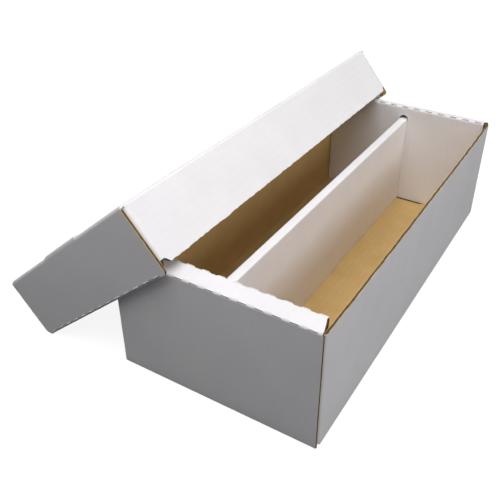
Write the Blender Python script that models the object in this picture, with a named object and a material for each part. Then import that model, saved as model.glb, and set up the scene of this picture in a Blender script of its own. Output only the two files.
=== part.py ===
"""Card storage box: a folded tray with double end walls, a divider, and a lid leaning on it.

Every panel of the three folded sheets is one closed solid of corrugated board. A panel starts as
the outline of its outer face. Its creases are spun from the outline's edges, and Solidify gives
the board's thickness on the inner side. Units are metres and +Z is up. The origin is the centre
of the tray's underside. X runs across the two rows and Y along them.
"""

import math

import bmesh
import bpy
from mathutils import Matrix, Vector

# Board
BOARD = 0.0026
CLEARANCE = 0.0003
FOLD_RADIUS = 0.0032
FOLD_LIP = 0.0004
FOLD_STEPS = 5
CURVE_STEPS = 8

# Tray
TRAY_WIDTH = 0.203
TRAY_LENGTH = 0.445
TRAY_HEIGHT = 0.126
WALL_DROP = 0.0022
RIM_WIDTH = 0.019
RIM_SETBACK = 0.0025
RIM_TAPER = 0.00375
FRONT_RIM_RISE = 0.001
BACK_RIM_RISE = 0.004
PANEL_SETBACK = 0.0015
FLAP_SPACING = 0.006
FLAP_CHAMFER = 0.006

# Slits of a perforated fold
SLIT_COUNT = 13
SLIT_PITCH = 0.0152
SLIT_LENGTH = 0.007
SLIT_WIDTH = 0.0006
SLIT_DEPTH = 0.0014

# Divider and the slots that hold it
DIVIDER_WIDTH = 0.0095
DIVIDER_DROP = 0.011
DIVIDER_END_GAP = 0.002
SLOT_SIDE_GAP = 0.0005
SLOT_HEADROOM = 0.0042

# Tabs that lock the tray's inner panels in the floor
TAB_LENGTH = 0.0328
TAB_CORNER = 0.0012

# Lid
LID_DEPTH = 0.0645
LID_SIDE_GAP = 0.0017
LID_END_GAP = 0.0005
LID_FLANGE_STEP = 0.006
LID_CORNER_RADIUS = 0.008
LID_FLAP_LENGTH = 0.052
LID_TAB_LENGTH = 0.058
LID_INNER_SETBACK = 0.0015

# How the lid leans: its free edge over the rims, and its underside over the wall
LID_EDGE_RISE = 0.0106
LID_WALL_SPACE = 0.0246

WHITE = (0.82, 0.81, 0.80, 1.0)
KRAFT = (0.50, 0.33, 0.18, 1.0)
BOARD_ROUGHNESS = 0.85

# Sizes that follow from those above
HALF_WIDTH = TRAY_WIDTH / 2
HALF_LENGTH = TRAY_LENGTH / 2
FOLD_END = FOLD_RADIUS + FOLD_LIP
CREASE = FOLD_END + CLEARANCE
LAYER = BOARD + CLEARANCE
WALL_TOP = TRAY_HEIGHT - WALL_DROP
FLAP_TOP = TRAY_HEIGHT - BOARD - CLEARANCE
PANEL_HALF = HALF_WIDTH - PANEL_SETBACK
RIM_HALF_OUTER = HALF_WIDTH - RIM_SETBACK
RIM_HALF_INNER = RIM_HALF_OUTER - RIM_TAPER
SLOT_HALF = DIVIDER_WIDTH / 2 + SLOT_SIDE_GAP
DIVIDER_TOP = TRAY_HEIGHT - DIVIDER_DROP
SLOT_TOP = DIVIDER_TOP + SLOT_HEADROOM
SLOT_ROUND = BOARD / 2 + CLEARANCE
FLOOR_SLOT_HALF = SLOT_HALF + TAB_LENGTH + CLEARANCE + SLOT_ROUND

LID_WIDTH = TRAY_WIDTH + 2 * (BOARD + LID_SIDE_GAP)
LID_END_WALL = 3 * BOARD + 2 * CLEARANCE
LID_LENGTH = TRAY_LENGTH + 2 * (LID_END_WALL + LID_END_GAP)
LID_HALF_WIDTH = LID_WIDTH / 2
LID_HALF_LENGTH = LID_LENGTH / 2
LID_PANEL_HALF = LID_HALF_WIDTH - PANEL_SETBACK


def clear_scene():
    for item in list(bpy.data.objects):
        bpy.data.objects.remove(item, do_unlink=True)


def board_material(name, colour):
    material = bpy.data.materials.new(name)
    material.use_nodes = True
    shader = material.node_tree.nodes["Principled BSDF"]
    shader.inputs["Base Color"].default_value = colour
    shader.inputs["Roughness"].default_value = BOARD_ROUGHNESS
    shader.inputs["Metallic"].default_value = 0.0
    material.diffuse_color = colour
    return material


def frame(origin, across, up):
    """A place for a flat outline: its first axis, its second axis, and the outward normal."""
    across = Vector(across)
    up = Vector(up)
    normal = across.cross(up)
    turn = Matrix((across, up, normal)).transposed().to_4x4()
    return Matrix.Translation(origin) @ turn


def arc(centre, radius, start, end, steps=CURVE_STEPS):
    """Points on an arc in an outline, from one angle to another in degrees."""
    points = []
    for step in range(steps + 1):
        angle = math.radians(start + (end - start) * step / steps)
        points.append((centre[0] + radius * math.cos(angle), centre[1] + radius * math.sin(angle)))
    return points


def panel(name, outline, place, material, bends=(), angles=None, parent=None):
    """A closed board panel.

    The outline runs anticlockwise, seen from outside. Each bend names the outline edge that it
    starts from, by the edge's first point, and turns that edge inwards, through a right angle
    where no angles are given.
    """
    shell = bmesh.new()
    corners = [shell.verts.new(place @ Vector((u, v, 0))) for u, v in outline]
    shell.faces.new(corners)
    inward = -(place.to_3x3() @ Vector((0, 0, 1)))
    if angles is None:
        angles = [math.pi / 2] * len(bends)
    for first, angle in zip(bends, angles):
        start = corners[first]
        end = corners[(first + 1) % len(corners)]
        edge = shell.edges.get((start, end))
        axis = (end.co - start.co).normalized()
        onward = inward.cross(axis) * math.cos(angle) + inward * math.sin(angle)
        turned = bmesh.ops.spin(
            shell,
            geom=[edge, start, end],
            cent=start.co + inward * FOLD_RADIUS,
            axis=axis,
            dvec=(0, 0, 0),
            angle=angle,
            steps=FOLD_STEPS,
            use_merge=False,
            use_normal_flip=False,
            use_duplicate=False,
        )
        rims = [item for item in turned["geom_last"] if isinstance(item, bmesh.types.BMEdge)]
        lip = bmesh.ops.extrude_edge_only(shell, edges=rims)["geom"]
        moved = [item for item in lip if isinstance(item, bmesh.types.BMVert)]
        bmesh.ops.translate(shell, verts=moved, vec=onward * FOLD_LIP)
    bmesh.ops.recalc_face_normals(shell, faces=shell.faces)
    shell.faces.ensure_lookup_table()
    if shell.faces[0].normal.dot(inward) > 0:
        bmesh.ops.reverse_faces(shell, faces=shell.faces)
    mesh = bpy.data.meshes.new(name)
    shell.to_mesh(mesh)
    shell.free()
    mesh.materials.append(material)
    if bends:
        mesh.shade_smooth()
        mesh.set_sharp_from_angle(angle=math.radians(40))
    piece = bpy.data.objects.new(name, mesh)
    bpy.context.scene.collection.objects.link(piece)
    thickness = piece.modifiers.new("board_thickness", "SOLIDIFY")
    thickness.thickness = BOARD
    thickness.offset = -1
    thickness.use_even_offset = True
    if parent is not None:
        piece.parent = parent
    return piece


def rectangle(low_u, high_u, low_v, high_v):
    return [(low_u, low_v), (high_u, low_v), (high_u, high_v), (low_u, high_v)]


def slot_cutter(name, half_length, low_y, high_y, low_z, high_z, parent=None):
    """A guide solid with round ends that cuts a straight slot through a level panel."""
    radius = (high_y - low_y) / 2
    middle = (high_y + low_y) / 2
    ends = arc((half_length - radius, middle), radius, -90, 90)
    ends += arc((radius - half_length, middle), radius, 90, 270)
    shape = bmesh.new()
    corners = [shape.verts.new((x, y, low_z)) for x, y in ends]
    base = shape.faces.new(corners)
    lifted = bmesh.ops.extrude_face_region(shape, geom=[base])
    moved = [item for item in lifted["geom"] if isinstance(item, bmesh.types.BMVert)]
    bmesh.ops.translate(shape, verts=moved, vec=(0, 0, high_z - low_z))
    return guide(name, shape, parent)


def slit_row(name, fold, outward, parent=None):
    """A guide solid for the row of slits in the outside of a fold that runs along X."""
    tangent = outward.cross(Vector((1, 0, 0)))
    shape = bmesh.new()
    for index in range(SLIT_COUNT):
        x = (index - (SLIT_COUNT - 1) / 2) * SLIT_PITCH
        middle = fold + outward * FOLD_RADIUS + Vector((x, 0, 0))
        place = frame(middle, (1, 0, 0), tangent)
        size = Matrix.Diagonal((SLIT_LENGTH, SLIT_WIDTH, 2 * SLIT_DEPTH, 1))
        bmesh.ops.create_cube(shape, size=1, matrix=place @ size)
    return guide(name, shape, parent)


def guide(name, shape, parent):
    """A hidden solid that only cuts other pieces."""
    bmesh.ops.recalc_face_normals(shape, faces=shape.faces)
    mesh = bpy.data.meshes.new(name)
    shape.to_mesh(mesh)
    shape.free()
    cutter = bpy.data.objects.new(name, mesh)
    bpy.context.scene.collection.objects.link(cutter)
    cutter.hide_render = True
    cutter.display_type = "WIRE"
    if parent is not None:
        cutter.parent = parent
    return cutter


def cut(piece, cutter):
    boolean = piece.modifiers.new("cut", "BOOLEAN")
    boolean.operation = "DIFFERENCE"
    boolean.solver = "EXACT"
    boolean.object = cutter


def make_floor(kraft):
    """The floor, cut by one slot at each end for the inner panels' tabs."""
    half_u = HALF_WIDTH - CREASE
    half_v = HALF_LENGTH - CREASE
    place = frame((0, 0, 0), (-1, 0, 0), (0, 1, 0))
    floor = panel("tray_floor", rectangle(-half_u, half_u, -half_v, half_v), place, kraft)
    for end, side in (("front", -1), ("back", 1)):
        near = HALF_LENGTH - RIM_WIDTH - CLEARANCE
        far = near + 2 * SLOT_ROUND
        low_y, high_y = sorted((side * near, side * far))
        name = "guide_floor_slot_" + end
        cut(floor, slot_cutter(name, FLOOR_SLOT_HALF, low_y, high_y, -BOARD, 2 * BOARD))


def make_long_wall(name, side, material):
    """A long wall, with its crease to the floor and the creases to its two dust flaps."""
    fold_v = HALF_LENGTH - LAYER - FOLD_RADIUS
    crease_v = HALF_LENGTH - LAYER - CREASE
    outline = [
        (-crease_v, FOLD_RADIUS),
        (crease_v, FOLD_RADIUS),
        (crease_v, CREASE),
        (fold_v, CREASE),
        (fold_v, FLAP_TOP),
        (crease_v, FLAP_TOP),
        (crease_v, WALL_TOP),
        (-crease_v, WALL_TOP),
        (-crease_v, FLAP_TOP),
        (-fold_v, FLAP_TOP),
        (-fold_v, CREASE),
        (-crease_v, CREASE),
    ]
    place = frame((side * HALF_WIDTH, 0, 0), (0, side, 0), (0, 0, 1))
    panel(name, outline, place, material, bends=(0, 3, 9))


def make_dust_flap(name, side_x, side_y, material):
    """A flap of a long wall, folded into the hollow end behind the outer panel."""
    fold_u = HALF_WIDTH - CREASE
    free_u = FLAP_SPACING / 2
    outline = [
        (free_u + FLAP_CHAMFER, CREASE),
        (fold_u, CREASE),
        (fold_u, FLAP_TOP),
        (free_u, FLAP_TOP),
        (free_u, CREASE + FLAP_CHAMFER),
    ]
    if side_x * side_y > 0:
        outline = [(-u, v) for u, v in reversed(outline)]
    place = frame((0, side_y * (HALF_LENGTH - LAYER), 0), (-side_y, 0, 0), (0, 0, 1))
    panel(name, outline, place, material)


def make_tray_end(end, side, rise, white):
    """One double end wall: outer panel, rim with both of its creases, and inner panel.

    The inner panel is a little tall for its place, so the rim's inner fold stands above the
    outer one by the rise.
    """
    outer = rectangle(-PANEL_HALF, PANEL_HALF, FOLD_RADIUS, TRAY_HEIGHT - CREASE)
    place = frame((0, side * HALF_LENGTH, 0), (-side, 0, 0), (0, 0, 1))
    panel("tray_" + end + "_outer_panel", outer, place, white, bends=(0,))

    run = RIM_WIDTH - 2 * FOLD_RADIUS
    tilt = math.atan2(rise, run)
    outer_fold = Vector((0, side * (HALF_LENGTH - FOLD_RADIUS), TRAY_HEIGHT - FOLD_RADIUS))
    inner_fold = outer_fold + Vector((0, -side * run, rise))
    uphill = (inner_fold - outer_fold).normalized()
    outward = Vector((-side, 0, 0)).cross(uphill)
    flat = math.hypot(run, rise)
    rim = [
        (-RIM_HALF_OUTER, 0),
        (RIM_HALF_OUTER, 0),
        (RIM_HALF_INNER, flat),
        (-RIM_HALF_INNER, flat),
    ]
    place = frame(outer_fold + outward * FOLD_RADIUS, (-side, 0, 0), uphill)
    angles = (math.pi / 2 - tilt, math.pi / 2 + tilt)
    piece = panel("tray_" + end + "_rim", rim, place, white, bends=(0, 2), angles=angles)
    for fold, level, label in ((outer_fold, side, "outer"), (inner_fold, -side, "inner")):
        middle = (outward + Vector((0, level, 0))).normalized()
        cut(piece, slit_row("guide_" + end + "_" + label + "_slits", fold, middle))

    place = frame((0, side * (HALF_LENGTH - RIM_WIDTH), 0), (side, 0, 0), (0, 0, 1))
    inner = inner_panel_outline(TRAY_HEIGHT + rise - CREASE)
    panel("tray_" + end + "_inner_panel", inner, place, white)


def inner_panel_outline(top):
    """An inner panel: two rounded tabs below, either side of a half-round slot open at the foot."""
    tab_end = SLOT_HALF + TAB_LENGTH
    right = [(SLOT_HALF, CLEARANCE)]
    right += arc((tab_end - TAB_CORNER, CLEARANCE + TAB_CORNER), TAB_CORNER, -90, 0, steps=3)
    right += [(tab_end, LAYER), (RIM_HALF_INNER, LAYER), (RIM_HALF_INNER, top)]
    left = [(-u, v) for u, v in reversed(right)]
    slot = arc((0, SLOT_TOP - SLOT_HALF), SLOT_HALF, 180, 0)
    return right + left + slot


def make_divider(white):
    """The folded divider: two leaves that stand on the floor, and the ridge with its creases."""
    reach = HALF_LENGTH - 2 * BOARD - CLEARANCE - DIVIDER_END_GAP
    half = DIVIDER_WIDTH / 2
    leaf = rectangle(-reach, reach, LAYER, DIVIDER_TOP - CREASE)
    for name, side in (("divider_left_leaf", -1), ("divider_right_leaf", 1)):
        place = frame((side * half, 0, 0), (0, side, 0), (0, 0, 1))
        panel(name, leaf, place, white)
    flat = half - FOLD_RADIUS
    ridge = rectangle(-flat, flat, -reach, reach)
    place = frame((0, 0, DIVIDER_TOP), (1, 0, 0), (0, 1, 0))
    panel("divider_ridge", ridge, place, white, bends=(1, 3))


def lean():
    """The lid's tilt and the place of its own frame, from what it leans over and stands on.

    The lid stands on the round corners of its end panels or on its left flange's edge, whichever
    is lower. Its right flange's edge is the set rise above the rims, and its underside is the set
    space from the left wall's top edge.
    """
    corner = (LID_PANEL_HALF - LID_CORNER_RADIUS, LID_CORNER_RADIUS, LID_CORNER_RADIUS)
    edge = (LID_HALF_WIDTH, LID_FLANGE_STEP, 0)
    free_u = LID_HALF_WIDTH - BOARD
    free_height = TRAY_HEIGHT + LID_EDGE_RISE
    tilts = []
    for stand_u, stand_v, radius in (corner, edge):
        reach = Vector((stand_u + free_u, LID_FLANGE_STEP - stand_v))
        tilts.append(math.asin((free_height - radius) / reach.length) - math.atan2(reach.y, reach.x))
    tilt = min(tilts)
    sine = math.sin(tilt)
    cosine = math.cos(tilt)
    height = free_height - free_u * sine - LID_FLANGE_STEP * cosine
    depth_at_wall = LID_DEPTH - BOARD - LID_WALL_SPACE
    across = (depth_at_wall - (WALL_TOP - height) * cosine) / sine - HALF_WIDTH
    return tilt, Vector((across, 0, height))


def make_lid_frame():
    tilt, place = lean()
    lid_frame = bpy.data.objects.new("lid_frame", None)
    lid_frame.location = place
    lid_frame.rotation_euler = (0, -tilt, 0)
    bpy.context.scene.collection.objects.link(lid_frame)
    return lid_frame


def make_lid_top(white, lid_frame):
    half_u = LID_HALF_WIDTH - CREASE
    half_v = LID_HALF_LENGTH - CREASE
    place = frame((0, 0, LID_DEPTH), (1, 0, 0), (0, 1, 0))
    outline = rectangle(-half_u, half_u, -half_v, half_v)
    top = panel("lid_top", outline, place, white, parent=lid_frame)
    for end, side in (("front", -1), ("back", 1)):
        near = LID_HALF_LENGTH - LID_END_WALL - CLEARANCE
        far = near + 2 * SLOT_ROUND
        low_y, high_y = sorted((side * near, side * far))
        low_z = LID_DEPTH - 2 * BOARD
        half = LID_TAB_LENGTH / 2 + CLEARANCE + SLOT_ROUND
        name = "guide_lid_slot_" + end
        cut(top, slot_cutter(name, half, low_y, high_y, low_z, LID_DEPTH + BOARD, lid_frame))


def make_lid_flange(name, side, white, lid_frame):
    """A long flange, with its crease to the lid's top and the creases to its corner flaps."""
    fold_v = LID_HALF_LENGTH - LAYER - FOLD_RADIUS
    crease_v = LID_HALF_LENGTH - LAYER - CREASE
    flap_top = LID_DEPTH - CREASE
    fold_top = LID_DEPTH - FOLD_RADIUS
    outline = [
        (-fold_v, LID_FLANGE_STEP),
        (fold_v, LID_FLANGE_STEP),
        (fold_v, flap_top),
        (crease_v, flap_top),
        (crease_v, fold_top),
        (-crease_v, fold_top),
        (-crease_v, flap_top),
        (-fold_v, flap_top),
    ]
    place = frame((side * LID_HALF_WIDTH, 0, 0), (0, side, 0), (0, 0, 1))
    panel(name, outline, place, white, bends=(1, 4, 7), parent=lid_frame)


def make_lid_corner_flap(name, side_x, side_y, material, lid_frame):
    """A flap of a long flange, held between the outer and the inner end panel."""
    fold_u = LID_HALF_WIDTH - CREASE
    free_u = fold_u - LID_FLAP_LENGTH
    top = LID_DEPTH - CREASE
    outline = rectangle(free_u, fold_u, LID_FLANGE_STEP, top)
    outline[3] = (free_u, top - LID_CORNER_RADIUS)
    outline.insert(3, (free_u + LID_CORNER_RADIUS, top))
    if side_x * side_y > 0:
        outline = [(-u, v) for u, v in reversed(outline)]
    place = frame((0, side_y * (LID_HALF_LENGTH - LAYER), 0), (-side_y, 0, 0), (0, 0, 1))
    panel(name, outline, place, material, parent=lid_frame)


def make_lid_end(end, side, white, lid_frame):
    """One rolled end of the lid: outer panel, rolled edge, and inner panel with its tab."""
    radius = LID_CORNER_RADIUS
    edge_half = LID_PANEL_HALF - radius
    fold_top = LID_DEPTH - FOLD_RADIUS
    right = [(edge_half - CLEARANCE, CREASE), (edge_half - CLEARANCE, 0)]
    right += arc((edge_half, radius), radius, -90, 0)
    right += [(LID_PANEL_HALF, fold_top)]
    left = [(-u, v) for u, v in reversed(right)]
    place = frame((0, side * LID_HALF_LENGTH, 0), (-side, 0, 0), (0, 0, 1))
    outer = right + left
    bends = (len(right) - 1,)
    panel("lid_" + end + "_outer_panel", outer, place, white, bends, parent=lid_frame)

    outer_v = LID_HALF_LENGTH - FOLD_RADIUS
    inner_v = LID_HALF_LENGTH - LID_END_WALL + FOLD_RADIUS
    half = edge_half - 2 * CLEARANCE
    strip = rectangle(-half, half, -outer_v, -inner_v)
    place = frame((0, 0, 0), (side, 0, 0), (0, -side, 0))
    piece = panel("lid_" + end + "_rolled_edge", strip, place, white, (0, 2), parent=lid_frame)
    for fold_y, level, label in ((outer_v, side, "outer"), (inner_v, -side, "inner")):
        fold = Vector((0, side * fold_y, FOLD_RADIUS))
        middle = Vector((0, level, -1)).normalized()
        name = "guide_lid_" + end + "_" + label + "_slits"
        cut(piece, slit_row(name, fold, middle, lid_frame))


def make_lid_inner_panel(end, side, material, lid_frame):
    half = LID_HALF_WIDTH - BOARD - LID_INNER_SETBACK
    edge_half = LID_PANEL_HALF - LID_CORNER_RADIUS
    tab = LID_TAB_LENGTH / 2
    shoulder = LID_DEPTH - LAYER
    right = [(edge_half - 2 * CLEARANCE, CREASE), (half, LID_FLANGE_STEP + CREASE)]
    right += [(half, shoulder), (tab, shoulder)]
    right += [(tab, LID_DEPTH - TAB_CORNER), (tab - TAB_CORNER, LID_DEPTH)]
    left = [(-u, v) for u, v in reversed(right)]
    place = frame((0, side * (LID_HALF_LENGTH - LID_END_WALL), 0), (side, 0, 0), (0, 0, 1))
    panel("lid_" + end + "_inner_panel", right + left, place, material, parent=lid_frame)


def make_tray(white, kraft):
    make_floor(kraft)
    make_long_wall("tray_left_wall", -1, white)
    make_long_wall("tray_right_wall", 1, white)
    for end, side_y, rise in (("front", -1, FRONT_RIM_RISE), ("back", 1, BACK_RIM_RISE)):
        make_tray_end(end, side_y, rise, white)
        for hand, side_x in (("left", -1), ("right", 1)):
            make_dust_flap("tray_" + end + "_" + hand + "_dust_flap", side_x, side_y, kraft)


def make_lid(white, kraft):
    lid_frame = make_lid_frame()
    make_lid_top(white, lid_frame)
    make_lid_flange("lid_left_flange", -1, white, lid_frame)
    make_lid_flange("lid_right_flange", 1, white, lid_frame)
    for end, side_y in (("front", -1), ("back", 1)):
        make_lid_end(end, side_y, white, lid_frame)
        make_lid_inner_panel(end, side_y, white, lid_frame)
        for hand, side_x in (("left", -1), ("right", 1)):
            name = "lid_" + end + "_" + hand + "_corner_flap"
            make_lid_corner_flap(name, side_x, side_y, kraft, lid_frame)


def main():
    clear_scene()
    white = board_material("white_faced_board", WHITE)
    kraft = board_material("kraft_board", KRAFT)
    make_tray(white, kraft)
    make_divider(white)
    make_lid(white, kraft)


main()
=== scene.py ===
"""Looks of the card storage box: folded sheets of corrugated board on a pale studio floor.

Each sheet's outer face is laid out patch by patch along its folds and then given the board's
thickness, with two thin liners and a core that lies back between them at every raw edge.
All lengths are in metres, in the frame of the CAD model whose nodes the pieces replace.
"""

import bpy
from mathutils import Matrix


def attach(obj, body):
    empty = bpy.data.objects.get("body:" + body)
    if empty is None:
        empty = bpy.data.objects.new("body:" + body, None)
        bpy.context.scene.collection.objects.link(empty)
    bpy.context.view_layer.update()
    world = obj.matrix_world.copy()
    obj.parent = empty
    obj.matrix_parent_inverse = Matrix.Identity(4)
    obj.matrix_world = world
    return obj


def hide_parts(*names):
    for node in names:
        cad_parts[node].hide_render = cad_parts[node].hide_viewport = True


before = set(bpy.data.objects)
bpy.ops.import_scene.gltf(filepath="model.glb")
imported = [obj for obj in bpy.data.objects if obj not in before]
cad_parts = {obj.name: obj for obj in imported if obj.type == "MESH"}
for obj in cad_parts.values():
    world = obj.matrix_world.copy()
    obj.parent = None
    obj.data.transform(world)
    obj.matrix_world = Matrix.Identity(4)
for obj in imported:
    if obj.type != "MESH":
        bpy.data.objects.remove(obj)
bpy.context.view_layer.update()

import math
from collections import namedtuple

import bmesh
import bpy
import numpy as np
from mathutils import Matrix, Vector, noise

RIGHT_ANGLE = math.pi / 2

# Room in comparisons: of computed places, of rounded ones, and of points that are to be joined.
TINY = 1e-9
SLACK = 1e-7
MERGE = 1e-5

# Board: its liners, how far the core lies back and the liners fray at a raw edge, and its bends.
BOARD = 0.0026
LINER = 0.00045
RECESS = 0.0008
FLUSH = 0.00002
FRAY = 0.00022
CLEARANCE = 0.0003
LAYER = BOARD + CLEARANCE
FOLD = 0.0032
BEND_LENGTH = RIGHT_ANGLE * FOLD
CREASE = 0.0039
PANEL_BELLY = 0.0004
FLUTE = 0.0072
MITRE_LIMIT = 1.4
SMOOTH_ANGLE = math.radians(38)

# Tray. A wall's free edge is uneven outward and upward, and less so near its ends.
HALF_WIDTH = 0.1015
HALF_LENGTH = 0.2225
TRAY_HEIGHT = 0.126
WALL_TOP = 0.1238
WALL_END = HALF_LENGTH - LAYER - CREASE
WALL_BELLY = 0.0007
WALL_WEAR = (0.00045, 0.0003)
WALL_WEAR_DEPTH = 0.004
WALL_WEAR_END = 0.008
FLAP_TOP = 0.1231
FLAP_GAP = 0.009
FLAP_CUT = 0.006
PANEL_HALF = 0.100
RIM_WIDTH = 0.019
RIM_HALF_OUTER = 0.099
RIM_HALF_INNER = {"front": 0.09525, "back": 0.0978}
RIM_TAPER_START = 0.0948
RIM_TAPER_SHARE = 0.35
FRONT_RISE = 0.001
BACK_RISE = 0.004

# Divider, the slots that it passes through, and the tabs beside them with their floor slots.
DIVIDER_HALF = 0.00475
DIVIDER_TOP = 0.115
DIVIDER_REACH = 0.215
DIVIDER_BELLY = 0.0005
DIVIDER_WAVE = 0.0002
DIVIDER_PLAY = 0.0001
SLOT_HALF = 0.00525
SLOT_TOP = 0.1192
TAB_END = SLOT_HALF + 0.0328
FLOOR_SLOT_INSIDE = 0.0026
FLOOR_SLOT_OUTSIDE = 0.0029
FLOOR_SLOT_PLAY = 0.0016

# Lid, in its own frame, and where it leans on the tray. Its panels' edges are uneven as the
# walls' are, and a notch takes off the lower corners of its flanges.
LID_DEPTH = 0.0645
LID_HALF_WIDTH = 0.1058
LID_HALF_LENGTH = 0.2314
LID_PANEL_HALF = {"front": 0.1043, "back": 0.1024}
LID_INNER_HALF = LID_HALF_WIDTH - BOARD - 0.0015
LID_TOP_REACH = 0.1055
LID_END_WALL = 0.0084
LID_STEP = 0.006
LID_BELLY = 0.0008
END_BELLY_HALF = 0.105
FLANGE_WEAR = (0.0003, 0.0007)
FLANGE_WEAR_DEPTH = 0.003
FLANGE_WEAR_END = 0.006
NOTCH = 0.0055
LID_CORNER = 0.008
SHARP_CORNER = 0.0035
LID_FLAP = 0.044
LID_FLAP_CUT = 0.008
FLAP_LIFT = 0.0006
FLAP_LIFT_DEPTH = 0.004
FLAP_LIFT_WIDTH = 0.008
INNER_FLARE_START = 0.08
LID_TAB_HALF = 0.029
LID_TAB_LIFT = 0.0013
LID_SLOT = 0.0032
LID_SLOT_PLAY = 0.0019
LID_MATRIX = Matrix.Translation((-0.1129487, 0.0, 0.0647436))
LID_MATRIX @= Matrix.Rotation(-math.radians(40.708503), 4, "Y")

# Perforated folds. A fold's sharpness is its share of the way from a round bend to a sharp one,
# and its groove is the share of the bend over which a slit gapes.
SLITS = 13
LAST_SLIT = SLITS // 2
SLIT_PITCH = 0.0152
SLIT_HALF = 0.0038
SLIT_TAPER = 0.0004
SLIT_FADE = (0.0030, 0.0048)
SLIT_REACH = 0.0946
WEB_BULGE = 0.00015
GROOVE_DEPTH = 0.0012
LIP_HEIGHT = 0.0008
LIP_SHARE = 0.12
SHARP_SHARE = 0.7
SOFT_SHARE = 0.2
RIDGE_SHARE = 0.6
SHARE_MARGIN = 0.001
GROOVE = (0.31, 0.39)
BACK_GROOVE = (0.44, 0.55)
LID_GROOVE = (0.55, 0.70)

# Places where the pieces lie in the map of unfolded board, so that their patterns differ.
SIDE_SHIFT = 0.2
END_SHIFT = 0.3
DIVIDER_SHIFT = 0.6

# Spacing of the rows and columns of the meshes
ACROSS_STEP = 0.009
TRAY_STEP = 0.0035
LID_STEP_ALONG = 0.0019
WALL_STEP = 0.008
FLANGE_STEP = 0.0055
DUST_FLAP_STEP = 0.012
CORNER_FLAP_STEP = 0.011
DIVIDER_STEP = 0.006

# Shares at which the runs and bends of a profile are divided
BEND = [k / 8 for k in range(9)]
PERFORATED = [0, 0.10, 0.20, 0.26, 0.31, 0.39, 0.44, 0.50, 0.55, 0.62, 0.70, 0.80, 0.90, 1]
RUN = [k / 14 for k in range(15)]
SHORT = [k / 5 for k in range(6)]

# Materials of the board's faces.
OUTER, INNER, EDGE, CORE = 0, 1, 2, 3
RAW_EDGE = (EDGE, CORE, CORE, CORE, EDGE)

Station = namedtuple("Station", "spot along part share")
Fold = namedtuple("Fold", "turn sharpness groove lip", defaults=[0.0])


def smooth(low, high, value):
    """A soft step from 0 at low to 1 at high."""
    share = min(max((value - low) / (high - low), 0.0), 1.0)
    return share * share * (3 - 2 * share)


def grain(co, size, seed):
    """A soft, repeatable unevenness between -1 and 1, with features of about that size."""
    return noise.noise(Vector(co) / size + Vector((seed, 3.7 * seed, 1.3)))


def squeezed(value, old, new, fixed):
    """A value, moved as on a rubber band that is pulled from old to new and held at fixed."""
    return new + (value - old) * (fixed - new) / (fixed - old)


def spaced(low, high, step):
    count = max(1, round((high - low) / step))
    return [low + (high - low) * k / count for k in range(count + 1)]


def mirrored(values):
    return sorted(set([-value for value in values] + values))


def beside(values, end):
    """The values at or beyond -end, and those at or beyond end."""
    low = [value for value in values if value <= -end + TINY]
    return low, [value for value in values if value >= end - TINY]


# Folded board


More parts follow.
